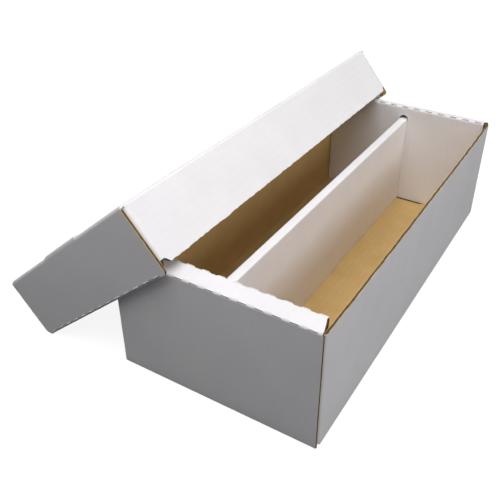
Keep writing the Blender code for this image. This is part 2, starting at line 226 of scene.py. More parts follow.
class Sheet:
    """The outer face of a folded sheet, and the board that is made from it.

    Each point has a height above the face, and a place in the map of unfolded board.
    """

    def __init__(self, facing):
        self.shell = bmesh.new()
        self.height = self.shell.verts.layers.float.new("height")
        self.flat = self.shell.verts.layers.float_vector.new("flat")
        self.cuts_and_painted_shade = self.shell.faces.layers.int.new("cut")
        self.facing = Vector(facing)

    def patch(self, place, us, vs, cut=None):
        """A grid of faces. place(u, v) gives a point, its height and its place when unfolded.

        cut(u, row) tells which faces take the core's material: the open inside of a cut, and faces
        painted dark as shade, such as the tabs in the floor slots.
        """
        rows = []
        for v in vs:
            row = []
            for u in us:
                co, height, flat = place(u, v)
                vert = self.shell.verts.new(co)
                vert[self.height] = height
                vert[self.flat] = (flat[0], flat[1], 0.0)
                row.append(vert)
            rows.append(row)
        for j in range(len(vs) - 1):
            for i in range(len(us) - 1):
                corners = (rows[j][i], rows[j][i + 1], rows[j + 1][i + 1], rows[j + 1][i])
                face = self.shell.faces.new(corners)
                if cut and cut((us[i] + us[i + 1]) / 2, j):
                    face[self.cuts_and_painted_shade] = 1

    def join(self):
        """Joins the patches into one face that looks outward."""
        shell = self.shell
        bmesh.ops.remove_doubles(shell, verts=shell.verts, dist=MERGE)
        bmesh.ops.recalc_face_normals(shell, faces=shell.faces)
        shell.faces.ensure_lookup_table()
        if shell.faces[0].normal.dot(self.facing) < 0:
            bmesh.ops.reverse_faces(shell, faces=shell.faces)
        shell.normal_update()
        shell.verts.index_update()

    def both_faces(self):
        """The points of the outer and of the inner face."""
        outer, inner = [], []
        for vert in self.shell.verts:
            spread = sum(vert.normal.dot(face.normal) for face in vert.link_faces)
            mitre = min(len(vert.link_faces) / max(spread, 1e-6), MITRE_LIMIT)
            outer.append(vert.co + vert.normal * vert[self.height])
            inner.append(vert.co - vert.normal * BOARD * mitre)
        return outer, inner

    def build(self, name, joined=lambda co: False, wear=1.0):
        """Gives the sheet its thickness and returns the piece.

        joined(co) tells where a raw edge only meets the next sheet at a fold, and so shows the
        white liner and no core. Wear sets how uneven the other raw edges are.
        """
        self.join()
        shell = self.shell
        verts = list(shell.verts)
        count = len(verts)
        outer, inner = self.both_faces()
        flats = [tuple(vert[self.flat]) for vert in verts] * 2
        points = outer + inner
        faces, marks = [], []
        for face in shell.faces:
            loop = [vert.index for vert in face.verts]
            faces += [loop, [count + index for index in reversed(loop)]]
            marks += [CORE if face[self.cuts_and_painted_shade] else OUTER, INNER]

        raw = [edge for edge in shell.edges if len(edge.link_faces) == 1]
        first, held = {}, set()
        for index, ways in inward_ways(raw).items():
            co = verts[index].co
            way = ways[0]
            if len(ways) > 1:
                way = (ways[0] + ways[1]) / max(1 + ways[0].dot(ways[1]), 0.3)
            down = (inner[index] - co).normalized()
            if joined(co):
                held.add(index)
                back = way * FLUSH
            else:
                uneven = grain(co, 0.006, 5) * 0.4 + grain(co, 0.0021, 9) * 0.3
                back = way * RECESS * (1 + uneven * wear)
                fray = way * FRAY * wear * grain(co, 0.004, 2)
                points[index] = outer[index] + fray
                points[count + index] = inner[index] + fray * 0.7
            first[index] = len(points)
            upper = points[index] + down * LINER
            lower = points[count + index] - down * LINER
            points += [upper, upper + back, lower + back, lower]
            flats += [flats[index]] * 4
        for edge in raw:
            loop = edge.link_loops[0]
            ends = loop.vert.index, loop.link_loop_next.vert.index
            columns = [[i] + [first[i] + k for k in range(4)] + [count + i] for i in ends]
            for k, mark in enumerate(RAW_EDGE):
                (a, below_a), (b, below_b) = (column[k : k + 2] for column in columns)
                faces.append([b, a, below_a, below_b])
                marks.append(OUTER if held.issuperset(ends) else mark)
        shell.free()
        return make_piece(name, points, faces, marks, flats)


def inward_ways(raw):
    """For each point on a raw edge, the directions from its edges into the board."""
    ways = {}
    for edge in raw:
        face = edge.link_faces[0]
        along = (edge.verts[1].co - edge.verts[0].co).normalized()
        into = face.normal.cross(along)
        if into.dot(face.calc_center_median() - edge.verts[0].co) < 0:
            into = -into
        for vert in edge.verts:
            ways.setdefault(vert.index, []).append(into)
    return ways


def make_piece(name, points, faces, marks, flats):
    """An object in the scene, with the board's materials and its map of unfolded board."""
    mesh = bpy.data.meshes.new(name)
    mesh.from_pydata([tuple(point) for point in points], [], faces)
    for material in BOARD_FACES:
        mesh.materials.append(material)
    mesh.polygons.foreach_set("material_index", marks)
    layer = mesh.uv_layers.new(name="board")
    loops = np.zeros(len(mesh.loops), np.int32)
    mesh.loops.foreach_get("vertex_index", loops)
    table = np.array([flat[:2] for flat in flats], np.float32)
    layer.uv.foreach_set("vector", table[loops].ravel())
    mesh.validate()
    mesh.shade_smooth()
    mesh.set_sharp_from_angle(angle=SMOOTH_ANGLE)
    piece = bpy.data.objects.new(name, mesh)
    bpy.context.scene.collection.objects.link(piece)
    return piece


def follow(start, heading, parts):
    """Stations along a folded profile, which is made of straight runs and bends to the right.

    A station has its spot, its length along the sheet, its part and its share of that part.
    The outward side is on the left.
    """
    spot = Vector(start)
    turn = math.radians(heading)
    length = 0.0
    stations = []
    for name, kind, amount, shares in parts:
        normal = Vector((-math.sin(turn), math.cos(turn)))
        ahead = Vector((math.cos(turn), math.sin(turn)))

        def reach(share):
            if kind == "run":
                return spot + ahead * amount * share, length + amount * share
            angle = turn - amount * share
            out = Vector((-math.sin(angle), math.cos(angle)))
            return spot - normal * FOLD + out * FOLD, length + FOLD * amount * share

        stations += [Station(*reach(share), name, share) for share in shares]
        spot, length = reach(1)
        if kind == "bend":
            turn -= amount
    return stations


def corner_height(share, turn):
    """How far a sharp corner would stand out from a bend, at a share of the bend."""
    return FOLD / math.cos(min(share, 1 - share) * turn) - FOLD


def slit_distance(x):
    """How far a place along a perforated fold is from the middle of its nearest slit."""
    index = min(max(round(x / SLIT_PITCH), -LAST_SLIT), LAST_SLIT)
    return abs(x - index * SLIT_PITCH)


def fold_height(x, share, fold):
    """How far the liner of a perforated fold stands out from, or in from, a plain bend.

    Between the slits the board rolls over softly. Beside a slit it stays flat up to the fold,
    and the slit itself gapes. A lip is the flat part's cut edge standing proud above the slit.
    """
    near = slit_distance(x)
    slit = 1 - smooth(*SLIT_FADE, near)
    height = fold.sharpness * corner_height(share, fold.turn) * slit
    height += WEB_BULGE * math.sin(math.pi * share) * (1 - slit)
    cut = 1 - smooth(SLIT_HALF - SLIT_TAPER, SLIT_HALF, near)
    low, high = fold.groove
    if low - SHARE_MARGIN < share < high + SHARE_MARGIN:
        height -= GROOVE_DEPTH * cut
    if high + SHARE_MARGIN < share < high + LIP_SHARE:
        height += fold.lip * cut
    return height


def in_groove(station, folds):
    if station.part not in folds:
        return False
    low, high = folds[station.part].groove
    return low - SHARE_MARGIN < station.share < high + SHARE_MARGIN


def slit_faces(stations, folds):
    """Tells Sheet.patch which faces are the gaping parts of slits."""

    def cut(x, row):
        strip = stations[row : row + 2]
        return slit_distance(x) < SLIT_HALF and all(in_groove(s, folds) for s in strip)

    return cut


def slit_columns(fixed, reach):
    """Places along a perforated fold: the fixed ones, and more where slits begin and end."""
    places = set()
    for index in range(-LAST_SLIT, LAST_SLIT + 1):
        middle = index * SLIT_PITCH
        for offset in (0, 0.0016, 0.0028, 0.0034, SLIT_HALF, 0.0043, 0.005, 0.0062):
            places.add(round(middle + offset, 6))
            places.add(round(middle - offset, 6))
        if index < LAST_SLIT:
            places.add(round(middle + SLIT_PITCH / 2, 6))
    fixed = sorted(set(round(x, 6) for x in fixed))
    kept = list(fixed)
    for x in sorted(places):
        if abs(x) < reach and all(abs(x - y) > 0.0002 for y in fixed):
            kept.append(x)
    return sorted(kept)


def round_slot(near, far, end):
    """A slot with round ends, from near to far and out to end on both sides.

    Returns the places across the sheet that follow its round end, and a function that moves
    a point on the slot's straight edge onto the round one.
    """
    middle, radius = (near + far) / 2, (far - near) / 2
    start = end - radius
    steps = [start + radius * math.sin(math.radians(a)) for a in (0, 30, 60, 90)]

    def curve(x, size):
        if start < abs(x) <= end + TINY and size in (near, far):
            reach = max(radius**2 - (abs(x) - start) ** 2, 0) ** 0.5
            return middle + (reach if size == far else -reach)
        return size

    return steps, curve


def round_corner(u, half_width, middle_y):
    """Where a distance u round the upright fold of a wall and its flap leads."""
    inner_x = half_width - FOLD
    if u <= 0:
        return half_width, middle_y + u
    if u <= BEND_LENGTH:
        return inner_x + FOLD * math.cos(u / FOLD), middle_y + FOLD * math.sin(u / FOLD)
    return inner_x - (u - BEND_LENGTH), middle_y + FOLD


# Materials


def add(tree, kind, **settings):
    node = tree.nodes.new(kind)
    for key, value in settings.items():
        setattr(node, key, value)
    return node


def feed(tree, socket, value):
    """Sets a socket to a number or a colour, or links another node's output to it."""
    if isinstance(value, (int, float)):
        socket.default_value = value
    elif isinstance(value, tuple):
        socket.default_value = (*value, 1.0)
    else:
        tree.links.new(value, socket)


def math_node(tree, operation, *values):
    node = add(tree, "ShaderNodeMath", operation=operation)
    for socket, value in zip(node.inputs, values):
        feed(tree, socket, value)
    return node.outputs[0]


def mix(tree, factor, a, b, blend="MIX"):
    node = add(tree, "ShaderNodeMix", data_type="RGBA", blend_type=blend)
    for socket, value in zip((node.inputs[0], node.inputs[6], node.inputs[7]), (factor, a, b)):
        feed(tree, socket, value)
    return node.outputs[2]


def ramp(tree, factor, *stops):
    node = add(tree, "ShaderNodeValToRGB")
    for element, (position, colour) in zip(node.color_ramp.elements, stops):
        element.position = position
        element.color = (*colour, 1.0)
    feed(tree, node.inputs[0], factor)
    return node.outputs[0]


def tinted(tree, base, factor, low, high, blend="MULTIPLY"):
    """A colour, multiplied by a ramp of another pattern, or blended with it in another way."""
    return mix(tree, 1.0, base, ramp(tree, factor, low, high), blend)


def grey(value):
    return (value, value, value)


def noise_node(tree, place, scale, detail, rough):
    node = add(tree, "ShaderNodeTexNoise")
    node.inputs["Scale"].default_value = scale
    node.inputs["Detail"].default_value = detail
    node.inputs["Roughness"].default_value = rough
    feed(tree, node.inputs["Vector"], place)
    return node.outputs["Fac"]


def flat_place(tree, stretch=(1.0, 1.0)):
    """The place in the map of unfolded board, which runs on over the folds."""
    uv = add(tree, "ShaderNodeUVMap", uv_map="board")
    mapping = add(tree, "ShaderNodeMapping")
    mapping.inputs["Scale"].default_value = (*stretch, 1.0)
    feed(tree, mapping.inputs[0], uv.outputs[0])
    return mapping.outputs[0]


def board_noise(tree, scale, detail=2.0, rough=0.5, stretch=(1.0, 1.0)):
    return noise_node(tree, flat_place(tree, stretch), scale, detail, rough)


def flute_wave(tree):
    """The washboard that the flutes raise in a liner: ridges that run along the sheet."""
    split = add(tree, "ShaderNodeSeparateXYZ")
    feed(tree, split.inputs[0], flat_place(tree))
    wander = math_node(tree, "MULTIPLY", board_noise(tree, scale=25.0, detail=1.0), 0.004)
    moved = math_node(tree, "ADD", split.outputs["X"], wander)
    return math_node(tree, "SINE", math_node(tree, "MULTIPLY", moved, 2 * math.pi / FLUTE))


def weighted(tree, *parts):
    """The sum of patterns, each times its weight."""
    total = None
    for pattern, weight in parts:
        share = math_node(tree, "MULTIPLY", pattern, weight)
        total = share if total is None else math_node(tree, "ADD", total, share)
    return total


def bump(tree, shader, height, strength, distance):
    node = add(tree, "ShaderNodeBump")
    node.inputs["Strength"].default_value = strength
    node.inputs["Distance"].default_value = distance
    feed(tree, node.inputs["Height"], height)
    feed(tree, shader.inputs["Normal"], node.outputs[0])


def paper(name, specular):
    """A new material with a node tree, and its shader."""
    material = bpy.data.materials.new(name)
    material.use_nodes = True
    shader = material.node_tree.nodes["Principled BSDF"]
    shader.inputs["Specular IOR Level"].default_value = specular
    return material, material.node_tree, shader


def white_liner(name):
    """Bleached liner: faint clouding, short fibres, and the washboard of the flutes below, as
    bumps and as faint painted shade in the colour.
    """
    material, tree, shader = paper(name, specular=0.35)
    cloud = board_noise(tree, scale=22.0, detail=3.0, rough=0.55)
    fibre = board_noise(tree, scale=900.0, rough=0.6, stretch=(1.0, 0.3))
    fleck = board_noise(tree, scale=420.0, rough=0.7, stretch=(1.0, 0.6))
    wave = flute_wave(tree)
    painted_flute_shade = math_node(tree, "MULTIPLY_ADD", wave, 0.5, 0.5)
    base = ramp(tree, cloud, (0.3, (0.838, 0.824, 0.838)), (0.7, (0.880, 0.867, 0.876)))
    base = tinted(tree, base, fleck, (0.74, grey(1)), (0.80, (0.90, 0.885, 0.86)))
    base = tinted(tree, base, fibre, (0.25, (0.975, 0.975, 0.978)), (0.75, grey(1)))
    # Faint painted shade of the flutes' washboard: darker colour in the troughs of the wave.
    base = tinted(tree, base, painted_flute_shade, (0.0, (0.988, 0.988, 0.99)), (1.0, grey(1)))
    feed(tree, shader.inputs["Base Color"], base)
    gloss = ramp(tree, cloud, (0.2, grey(0.58)), (0.8, grey(0.7)))
    feed(tree, shader.inputs["Roughness"], gloss)
    height = weighted(tree, (fibre, 0.10), (wave, 0.09), (cloud, 0.4))
    bump(tree, shader, height, strength=0.35, distance=0.0004)
    return material


def kraft_liner(name):
    """Unbleached liner: golden brown, with streaks, fibre flecks, and flute lines as bumps and as
    painted shade in the colour.
    """
    material, tree, shader = paper(name, specular=0.25)
    cloud = board_noise(tree, scale=30.0, detail=3.0, rough=0.6)
    streak = board_noise(tree, scale=700.0, detail=3.0, rough=0.6, stretch=(1.0, 0.08))
    fleck = board_noise(tree, scale=520.0, rough=0.6, stretch=(1.0, 0.45))
    pale = board_noise(tree, scale=610.0, rough=0.6, stretch=(0.7, 0.35))
    wave = flute_wave(tree)
    painted_flute_shade = math_node(tree, "MULTIPLY_ADD", wave, 0.5, 0.5)
    base = ramp(tree, cloud, (0.3, (0.575, 0.388, 0.158)), (0.72, (0.650, 0.446, 0.194)))
    base = tinted(tree, base, streak, (0.3, (0.955, 0.95, 0.935)), (0.7, grey(1)))
    base = tinted(tree, base, fleck, (0.68, grey(1)), (0.76, (0.72, 0.66, 0.58)))
    base = tinted(tree, base, pale, (0.70, grey(0)), (0.78, (0.10, 0.09, 0.06)), "ADD")
    # Painted shade of the flutes' washboard: darker colour in the troughs of the wave.
    base = tinted(tree, base, painted_flute_shade, (0.0, (0.978, 0.975, 0.968)), (1.0, grey(1)))
    feed(tree, shader.inputs["Base Color"], base)
    rough = ramp(tree, streak, (0.2, grey(0.68)), (0.8, grey(0.84)))
    feed(tree, shader.inputs["Roughness"], rough)
    height = weighted(tree, (streak, 0.14), (wave, 0.12))
    bump(tree, shader, height, strength=0.4, distance=0.0004)
    return material


def edge_paper(name, low, high, depth):
    """The cut edge of a liner or of the fluted core: rough fibres, lighter and darker by turns."""
    material, tree, shader = paper(name, specular=0.15)
    place = add(tree, "ShaderNodeTexCoord").outputs["Object"]
    coarse = noise_node(tree, place, scale=240.0, detail=3.0, rough=0.65)
    fine = noise_node(tree, place, scale=1500.0, detail=2.0, rough=0.6)
    base = ramp(tree, coarse, (0.3, low), (0.7, high))
    base = tinted(tree, base, fine, (0.3, (0.82, 0.80, 0.78)), (0.7, grey(1)))
    feed(tree, shader.inputs["Base Color"], base)
    rough = ramp(tree, fine, (0.2, grey(0.80)), (0.8, grey(0.95)))
    feed(tree, shader.inputs["Roughness"], rough)
    bump(tree, shader, fine, strength=0.6, distance=depth)
    return material


# In the order of OUTER, INNER, EDGE and CORE
BOARD_FACES = [
    white_liner("white_liner"),
    kraft_liner("kraft_liner"),
    edge_paper("liner_edge", (0.46, 0.33, 0.14), (0.68, 0.52, 0.27), 0.0002),
    # The core's dark brown is partly the fluting's own colour and partly painted shade of the
    # hollows between flutes, which the flat core face doesn't model.
    edge_paper("fluted_core", (0.092, 0.056, 0.024), (0.215, 0.140, 0.064), 0.0004),
]


def dress(piece, body, nodes):
    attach(piece, body)
    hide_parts(*nodes)


def flap_nodes(start, end):
    """The names of the four flaps at the corners of the tray or of the lid."""
    return [f"{start}_{e}_{s}_{end}" for e in ("front", "back") for s in ("left", "right")]


# Tray


def wall_place(side):
    """The right or left wall with its long crease: u along the box, v up the unfolded wall."""

    def place(u, v):
        if v <= 0:
            angle = RIGHT_ANGLE * (1 + v / BEND_LENGTH)
            x = HALF_WIDTH - FOLD + FOLD * math.sin(angle)
            z = FOLD - FOLD * math.cos(angle)
        else:
            z = FOLD + v
            bow = smooth(0.1, 1.0, z / WALL_TOP) * (1 - (abs(u) / WALL_END) ** 4)
            x = HALF_WIDTH + bow * WALL_BELLY
            uneven = smooth(WALL_TOP - WALL_WEAR_DEPTH, WALL_TOP, z)
            uneven *= 1 - smooth(WALL_END - WALL_WEAR_END, WALL_END, abs(u))
            x += uneven * WALL_WEAR[0] * grain((side, u, 0), 0.011, 4)
            z += uneven * WALL_WEAR[1] * grain((side, u, 1), 0.019, 6)
        return Vector((side * x, u, z)), 0.0, (BEND_LENGTH + v + SIDE_SHIFT * side, u)

    return place


def make_tray_shell():
    """The floor with its two lock slots, the long walls, and the dust flaps."""
    sheet = Sheet((0, 0, -1))
    inner_x = HALF_WIDTH - FOLD
    fold_y = HALF_LENGTH - LAYER - FOLD
    edge_y = HALF_LENGTH - CREASE
    near = HALF_LENGTH - RIM_WIDTH - FLOOR_SLOT_INSIDE
    far = HALF_LENGTH - RIM_WIDTH + FLOOR_SLOT_OUTSIDE
    slot_end = TAB_END + FLOOR_SLOT_PLAY
    slot_steps, slot_curve = round_slot(near, far, slot_end)
    across = spaced(0, slot_steps[0], ACROSS_STEP)[:-1] + slot_steps
    xs = mirrored(across + spaced(slot_end, inner_x, ACROSS_STEP)[1:])
    along = spaced(0, near - 0.002, TRAY_STEP)
    ys = mirrored(along + [near, far, far + 0.0015, WALL_END, edge_y])

    def floor_place(x, y):
        size = slot_curve(x, abs(y))
        return Vector((x, math.copysign(size, y), 0.0)), 0.0, (x, y)

    front = [y for y in ys if y <= -far]
    middle = [y for y in ys if -near <= y <= near]
    back = [y for y in ys if y >= far]
    for rows in (front, middle, back):
        sheet.patch(floor_place, xs, rows)
    for rows in ([-far, -near], [near, far]):
        for part in beside(xs, slot_end):
            sheet.patch(floor_place, part, rows)

    span = [y for y in ys if abs(y) <= WALL_END + TINY]
    creased = [-BEND_LENGTH * (1 - share) for share in BEND]
    heights = [CREASE] + spaced(0.008, 0.112, WALL_STEP) + [0.116, 0.119, 0.121, FLAP_TOP]
    around = [WALL_END - fold_y, 0.0] + [BEND_LENGTH * share for share in BEND[1:]]
    last = BEND_LENGTH + inner_x - FLAP_GAP
    around += spaced(BEND_LENGTH, last, DUST_FLAP_STEP)[1:]
    for side in (-1, 1):
        wall = wall_place(side)
        sheet.patch(wall, span, creased)
        sheet.patch(wall, span, [0.0] + [z - FOLD for z in heights] + [WALL_TOP - FOLD])
        for side_y in (-1, 1):

            def flap(u, z):
                x, y = round_corner(u, HALF_WIDTH, fold_y)
                flat = (z + SIDE_SHIFT * side, side_y * (fold_y + u))
                return Vector((side * x, side_y * y, z)), 0.0, flat

            def tip(u, z):
                low = heights[0] + max(u - last, 0.0)
                return flap(u, squeezed(z, heights[0], low, heights[-1]))

            sheet.patch(flap, around, heights)
            sheet.patch(tip, [last + FLAP_CUT * k / 3 for k in range(4)], heights)
    nodes = ["tray_floor", "tray_left_wall", "tray_right_wall"] + flap_nodes("tray", "dust_flap")
    dress(sheet.build("tray_floor_and_walls"), "tray", nodes)


def make_tray_end(end, side, rise):
    """One double end wall: outer panel, rim with perforated folds, inner panel and its tabs."""
    run = RIM_WIDTH - 2 * FOLD
    tilt = math.atan2(rise, run)
    slot_middle = SLOT_TOP - SLOT_HALF
    inner_top = TRAY_HEIGHT - FOLD + rise
    inner_look = (SOFT_SHARE, BACK_GROOVE) if end == "back" else (SHARP_SHARE, GROOVE)
    folds = {
        "outer_fold": Fold(RIGHT_ANGLE - tilt, SHARP_SHARE, GROOVE),
        "inner_fold": Fold(RIGHT_ANGLE + tilt, *inner_look),
    }
    stations = follow(
        (CREASE, 0.0),
        180,
        [
            ("floor", "run", CREASE - FOLD, [0]),
            ("floor_fold", "bend", RIGHT_ANGLE, BEND),
            ("outer_panel", "run", TRAY_HEIGHT - 2 * FOLD, RUN[1:-1]),
            ("outer_fold", "bend", folds["outer_fold"].turn, PERFORATED),
            ("rim", "run", math.hypot(run, rise), SHORT[1:-1]),
            ("inner_fold", "bend", folds["inner_fold"].turn, PERFORATED),
            ("inner_panel", "run", inner_top - slot_middle, SHORT[1:]),
        ],
    )
    arch_foot = stations[-1]
    lower = []
    for share in RUN[1:]:
        drop = (slot_middle - LAYER) * share
        spot = Vector((RIM_WIDTH, slot_middle - drop))
        lower.append(Station(spot, arch_foot.along + drop, "lower_panel", share))
    tab_rows = [lower[-1]]
    for drop in (BOARD / 2, BOARD):
        spot = lower[-1].spot - Vector((0, drop))
        tab_rows.append(Station(spot, lower[-1].along + drop, "tab", 1))

    fixed = [0.0, TAB_END, RIM_TAPER_START, 0.0955, 0.0965, 0.098, PANEL_HALF]
    fixed += [SLOT_HALF * math.cos(math.radians(a)) for a in range(0, 91, 15)]
    columns = slit_columns(mirrored(fixed), SLIT_REACH)

    def half_width(part, share):
        if part in ("floor", "floor_fold", "outer_panel"):
            return PANEL_HALF
        if part == "outer_fold":
            return PANEL_HALF - (PANEL_HALF - RIM_HALF_OUTER) * smooth(0, RIM_TAPER_SHARE, share)
        if part == "rim":
            return RIM_HALF_OUTER - (RIM_HALF_OUTER - RIM_HALF_INNER[end]) * share
        return RIM_HALF_INNER[end]

    def place(x, station):
        part, share = station.part, station.share
        where, height = x, 0.0
        a, b = station.spot
        if abs(x) > RIM_TAPER_START:
            size = squeezed(abs(x), PANEL_HALF, half_width(part, share), RIM_TAPER_START)
            where = math.copysign(size, x)
        if part in folds:
            height = fold_height(where, share, folds[part])
        if part == "outer_panel":
            a -= PANEL_BELLY * (1 - (where / PANEL_HALF) ** 2) * math.sin(math.pi * share)
        if part == "inner_panel" and abs(x) < SLOT_HALF:
            arch = slot_middle + (SLOT_HALF**2 - x * x) ** 0.5
            b = inner_top - (inner_top - arch) * share
        if part in ("lower_panel", "tab") and abs(x) < SLOT_HALF + SLACK:
            where = math.copysign(DIVIDER_HALF + DIVIDER_PLAY, x)
        flat = (where, side * (END_SHIFT - station.along))
        return Vector((where, side * (HALF_LENGTH - a), b)), height, flat

    sheet = Sheet((0, 0, -1))
    sheet.patch(place, columns, stations, slit_faces(stations, folds))
    for hand in (-1, 1):
        part = [x for x in columns if hand * x >= SLOT_HALF - SLACK]
        sheet.patch(place, part, [arch_foot] + lower)
        tab = [x for x in part if hand * x <= TAB_END + SLACK]
        # The tab's faces below the floor's top take the dark core colour all over: painted shade
        # in the gap of the floor slot.
        sheet.patch(place, tab, tab_rows, lambda x, row: True)
    nodes = [f"tray_{end}_{panel}" for panel in ("outer_panel", "rim", "inner_panel")]
    dress(sheet.build(f"tray_{end}_double_wall"), "tray", nodes)


def make_divider():
    """The folded divider strip: two leaves and the narrow ridge between their creases."""
    leaf = DIVIDER_TOP - FOLD - LAYER
    stations = follow(
        (-DIVIDER_HALF, LAYER),
        90,
        [
            ("left_leaf", "run", leaf, RUN[:-1]),
            ("left_fold", "bend", RIGHT_ANGLE, BEND),
            ("ridge", "run", 2 * (DIVIDER_HALF - FOLD), [0.5]),
            ("right_fold", "bend", RIGHT_ANGLE, BEND),
            ("right_leaf", "run", leaf, RUN[1:]),
        ],
    )

    def place(y, station):
        part, share = station.part, station.share
        a, b = station.spot
        height = 0.0
        if part in ("left_leaf", "right_leaf"):
            bow = DIVIDER_BELLY * math.sin(math.pi * share) * (1 - (y / DIVIDER_REACH) ** 2)
            a += bow if part == "right_leaf" else -bow
        b += DIVIDER_WAVE * grain((a, y, 0), 0.05, 8) * smooth(0.1, DIVIDER_TOP, b)
        if part in ("left_fold", "right_fold"):
            height = RIDGE_SHARE * corner_height(share, RIGHT_ANGLE)
        return Vector((a, y, b)), height, (station.along + DIVIDER_SHIFT, y)

    sheet = Sheet((-1, 0, 0))
    sheet.patch(place, spaced(-DIVIDER_REACH, DIVIDER_REACH, DIVIDER_STEP), stations)
    nodes = ["divider_left_leaf", "divider_right_leaf", "divider_ridge"]
    dress(sheet.build("divider"), "tray", nodes)


# Lid, made in its own frame and then leaned on the tray


def above_notch(z, y, edge):
    """A height on a flange, moved up where the flange's lower corner is cut away."""
    top = LID_DEPTH - CREASE
    if z >= top:
        return z
    return squeezed(z, LID_STEP, LID_STEP + NOTCH * smooth(edge - NOTCH, edge, y), top)


def tab_lift(x):
    """How far the narrow bridge outside a lock slot is pushed up by the tab below it."""
    return LID_TAB_LIFT * (1 - smooth(LID_TAB_HALF - 0.0012, LID_TAB_HALF + 0.0022, abs(x)))


def lid_belly(x, share):
    """How far an end panel of the lid bows out."""
    return PANEL_BELLY * (1 - (x / END_BELLY_HALF) ** 2) * math.sin(math.pi * share)


def make_lid_shell():
    """The top with its two lock slots, the long flanges, and the corner flaps."""
    sheet = Sheet((0, 0, 1))
    inner_x = LID_HALF_WIDTH - FOLD
    crease_y = LID_HALF_LENGTH - LAYER - CREASE
    fold_y = LID_HALF_LENGTH - LAYER - FOLD
    edge_y = LID_HALF_LENGTH - CREASE
    near = LID_HALF_LENGTH - LID_END_WALL - CLEARANCE
    far = near + LID_SLOT
    slot_end = LID_TAB_HALF + LID_SLOT_PLAY
    slot_steps, slot_curve = round_slot(near, far, slot_end)
    across = spaced(0, slot_steps[0] - 0.002, ACROSS_STEP) + slot_steps + [slot_end + 0.0012]
    xs = mirrored(across + spaced(slot_end + 0.003, inner_x, ACROSS_STEP))
    along = spaced(0, near - 0.003, LID_STEP_ALONG)
    ys = mirrored(along + [near, crease_y, far, edge_y])

    def top_place(x, y):
        size = slot_curve(x, abs(y))
        z = LID_DEPTH + tab_lift(x) * smooth(near - 0.001, far, abs(y))
        return Vector((x, math.copysign(size, y), z)), 0.0, (x, y)

    sheet.patch(top_place, xs, [y for y in ys if abs(y) <= near])
    for side in (-1, 1):
        for part in beside(xs, slot_end):
            sheet.patch(top_place, part, sorted(side * y for y in (near, crease_y, far)))
        sheet.patch(top_place, xs, sorted(side * y for y in (far, edge_y)))

    span = [y for y in ys if abs(y) <= crease_y + TINY]
    flap_top = LID_DEPTH - CREASE
    levels = [LID_STEP, 0.0068, 0.008, 0.010] + spaced(0.014, 0.052, FLANGE_STEP) + [flap_top]
    turn = [BEND_LENGTH * share for share in BEND]
    down = [LID_DEPTH - FOLD - z + BEND_LENGTH for z in reversed(levels)]
    around = [crease_y - fold_y, 0.0] + turn[1:]
    last = BEND_LENGTH + LID_FLAP
    around += spaced(BEND_LENGTH, last, CORNER_FLAP_STEP)[1:]
    for side in (-1, 1):

        def flange(y, v):
            if v <= BEND_LENGTH:
                x = inner_x + FOLD * math.sin(v / FOLD)
                z = LID_DEPTH - FOLD + FOLD * math.cos(v / FOLD)
            else:
                z = LID_DEPTH - FOLD - (v - BEND_LENGTH)
                bow = smooth(0.1, 1, (LID_DEPTH - z) / LID_DEPTH)
                x = LID_HALF_WIDTH - LID_BELLY * bow * (1 - (abs(y) / crease_y) ** 4)
                uneven = 1 - smooth(LID_STEP, LID_STEP + FLANGE_WEAR_DEPTH, z)
                uneven *= 1 - smooth(crease_y - FLANGE_WEAR_END, crease_y, abs(y))
                x += uneven * FLANGE_WEAR[0] * grain((side, y, 3), 0.009, 3)
                z += uneven * FLANGE_WEAR[1] * grain((side, y, 5), 0.0035, 7)
                z = above_notch(z, abs(y), crease_y)
            return Vector((side * x, y, z)), 0.0, (side * (inner_x + v), y)

        sheet.patch(flange, ys, turn)
        sheet.patch(flange, span, turn[-1:] + down)
        for side_y in (-1, 1):

            def flap(u, z):
                x, y = round_corner(u, LID_HALF_WIDTH, fold_y)
                lift = FLAP_LIFT * smooth(flap_top - FLAP_LIFT_DEPTH, flap_top, z)
                lift *= 1 - smooth(BEND_LENGTH, BEND_LENGTH + FLAP_LIFT_WIDTH, u)
                lift *= smooth(crease_y - fold_y, 0.0, u)
                z = above_notch(z, crease_y, crease_y) + lift
                flat = (side * (END_SHIFT - z), side_y * (fold_y + u))
                return Vector((side * x, side_y * y, z)), 0.0, flat

            def tip(u, z):
                high = flap_top - max(u - last, 0.0)
                return flap(u, squeezed(z, flap_top, high, LID_STEP))

            sheet.patch(flap, around, levels)
            sheet.patch(tip, [last + LID_FLAP_CUT * k / 2 for k in range(3)], levels)

    def joined(co):
        return abs(co.y) > crease_y - 1e-5 and co.z > flap_top - 1e-4

    piece = sheet.build("lid_top_and_flanges", joined, 1.8)
    piece.data.transform(LID_MATRIX)
    nodes = ["lid_top", "lid_left_flange", "lid_right_flange"] + flap_nodes("lid", "corner_flap")
    dress(piece, "lid", nodes)


